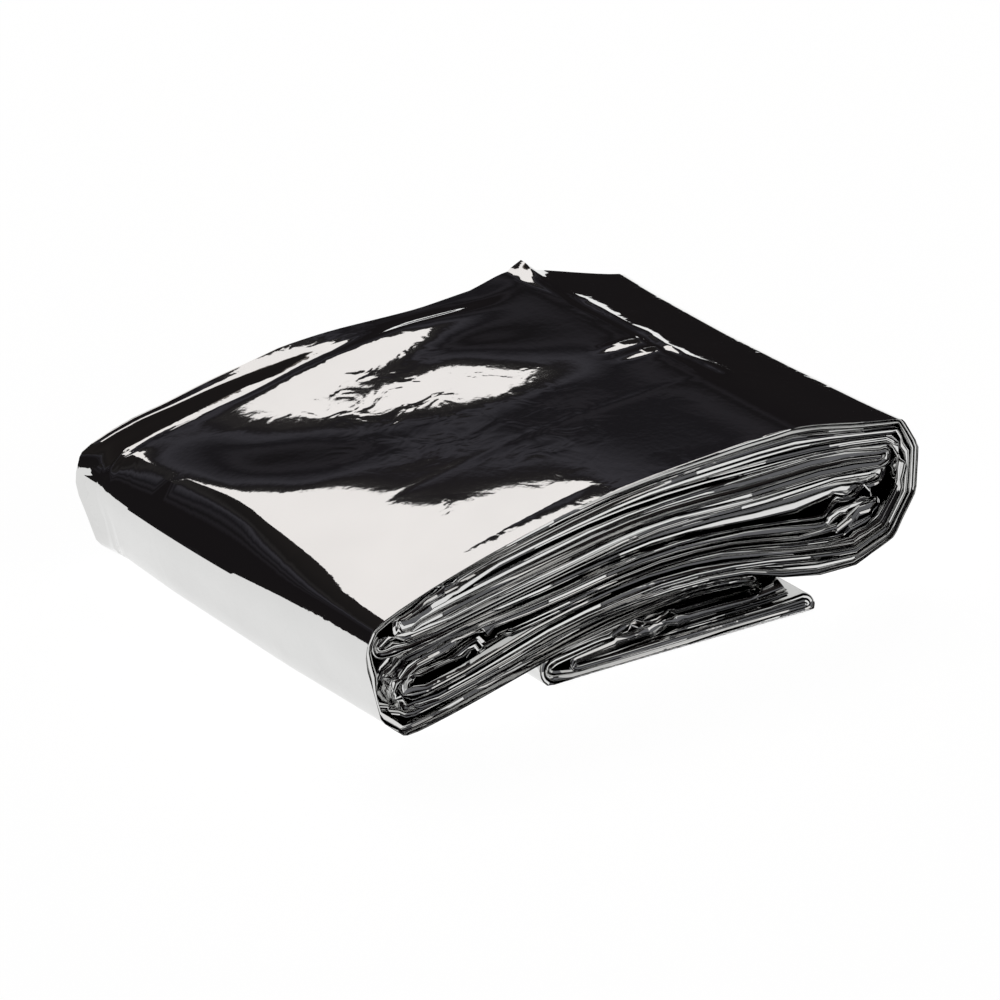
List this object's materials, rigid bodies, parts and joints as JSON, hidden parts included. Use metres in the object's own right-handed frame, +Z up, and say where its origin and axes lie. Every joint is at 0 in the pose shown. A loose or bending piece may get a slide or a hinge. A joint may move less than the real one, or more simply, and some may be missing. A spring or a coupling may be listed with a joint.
{
  "type": "folded emergency foil blanket",
  "caption": "Emergency blanket of mirror-bright metallised film, folded back and forth into an arched pocket-sized packet that lies on a tail flap folded under it.",
  "frame": {"origin": "on the surface it lies on, under the middle of the packet", "axes": "+X along the folded passes, from the smooth end to the rolled end; +Y from the open front edges to the back edges; +Z up"},
  "size_m": [0.1217, 0.0886, 0.0351],
  "materials": {
    "metallised_film": "mirror-bright silver metallised film, both sides, faintly wrinkled and creased at the folds"
  },
  "bodies": {
    "root": {"blanket": "metallised_film"}
  },
  "joints": []
}
